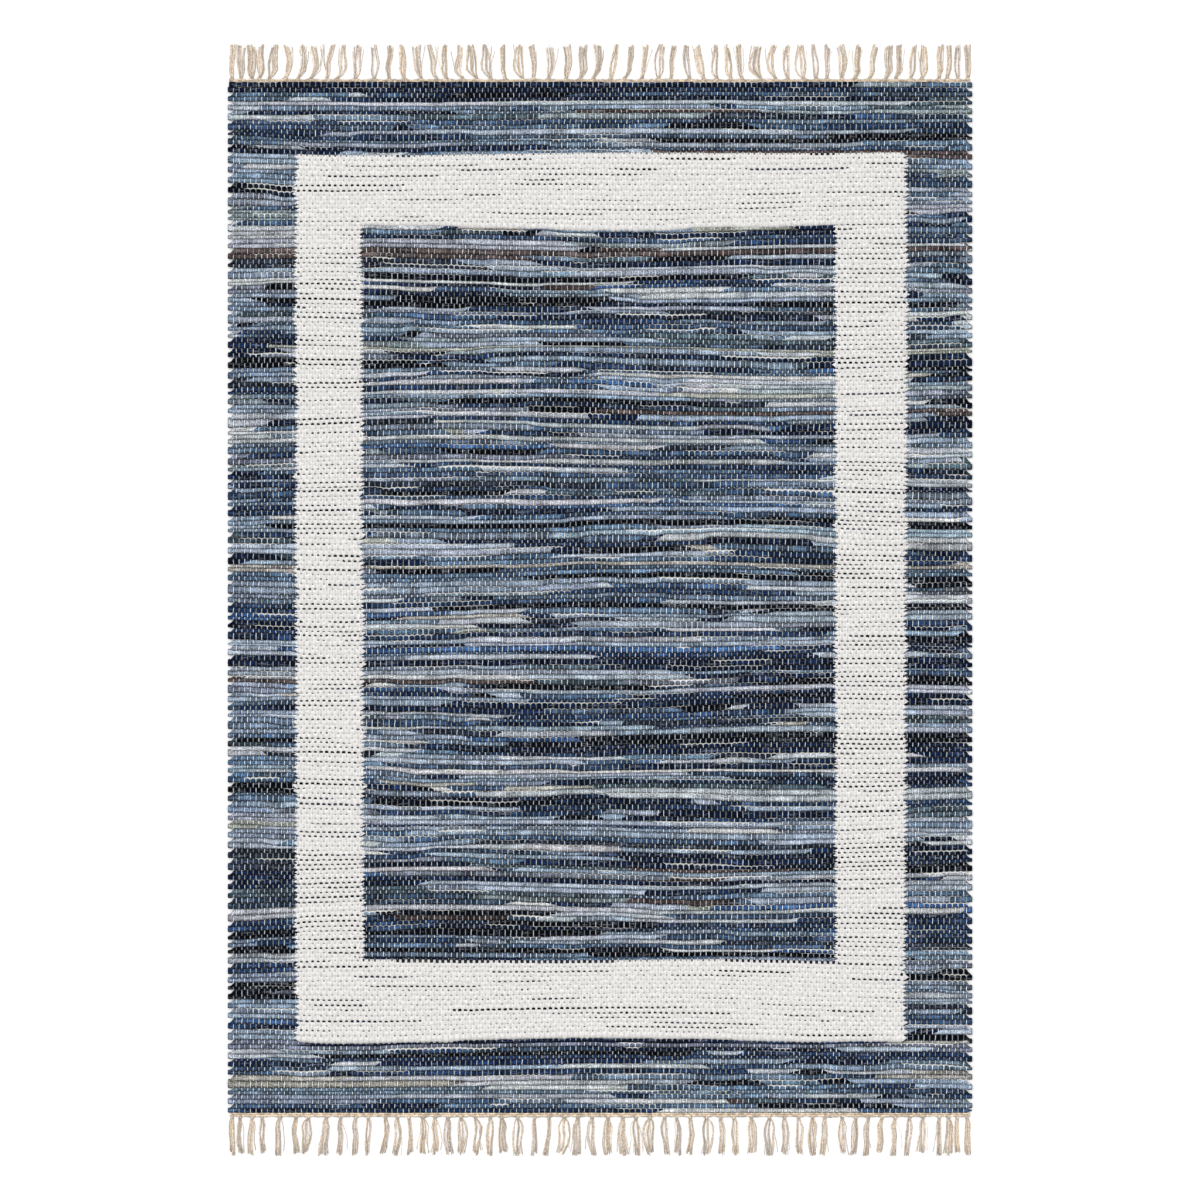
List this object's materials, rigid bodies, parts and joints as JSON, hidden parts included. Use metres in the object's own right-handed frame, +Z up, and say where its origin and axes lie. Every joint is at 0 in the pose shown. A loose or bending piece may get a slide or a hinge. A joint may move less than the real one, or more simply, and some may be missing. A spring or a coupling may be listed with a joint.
{
  "type": "rug",
  "caption": "Flat handwoven rag rug with ribbed weft rows, scalloped selvedges, a woven frame border and a knotted cotton fringe at both ends.",
  "frame": {"origin": "on the floor, under the middle of the rug's box with its fringes", "axes": "+X along the weft rows, +Y along the warp towards the far fringe, +Z up, out of the face that shows"},
  "size_m": [1.22, 1.828, 0.0075],
  "materials": {
    "denim_rags": "matt woven cotton rags, mixed denim blues with a white rag frame",
    "cotton_warp": "matt plied cotton yarn, undyed"
  },
  "bodies": {
    "root": {"cloth": "denim_rags", "fringe_far": "cotton_warp", "fringe_near": "cotton_warp"}
  },
  "joints": []
}
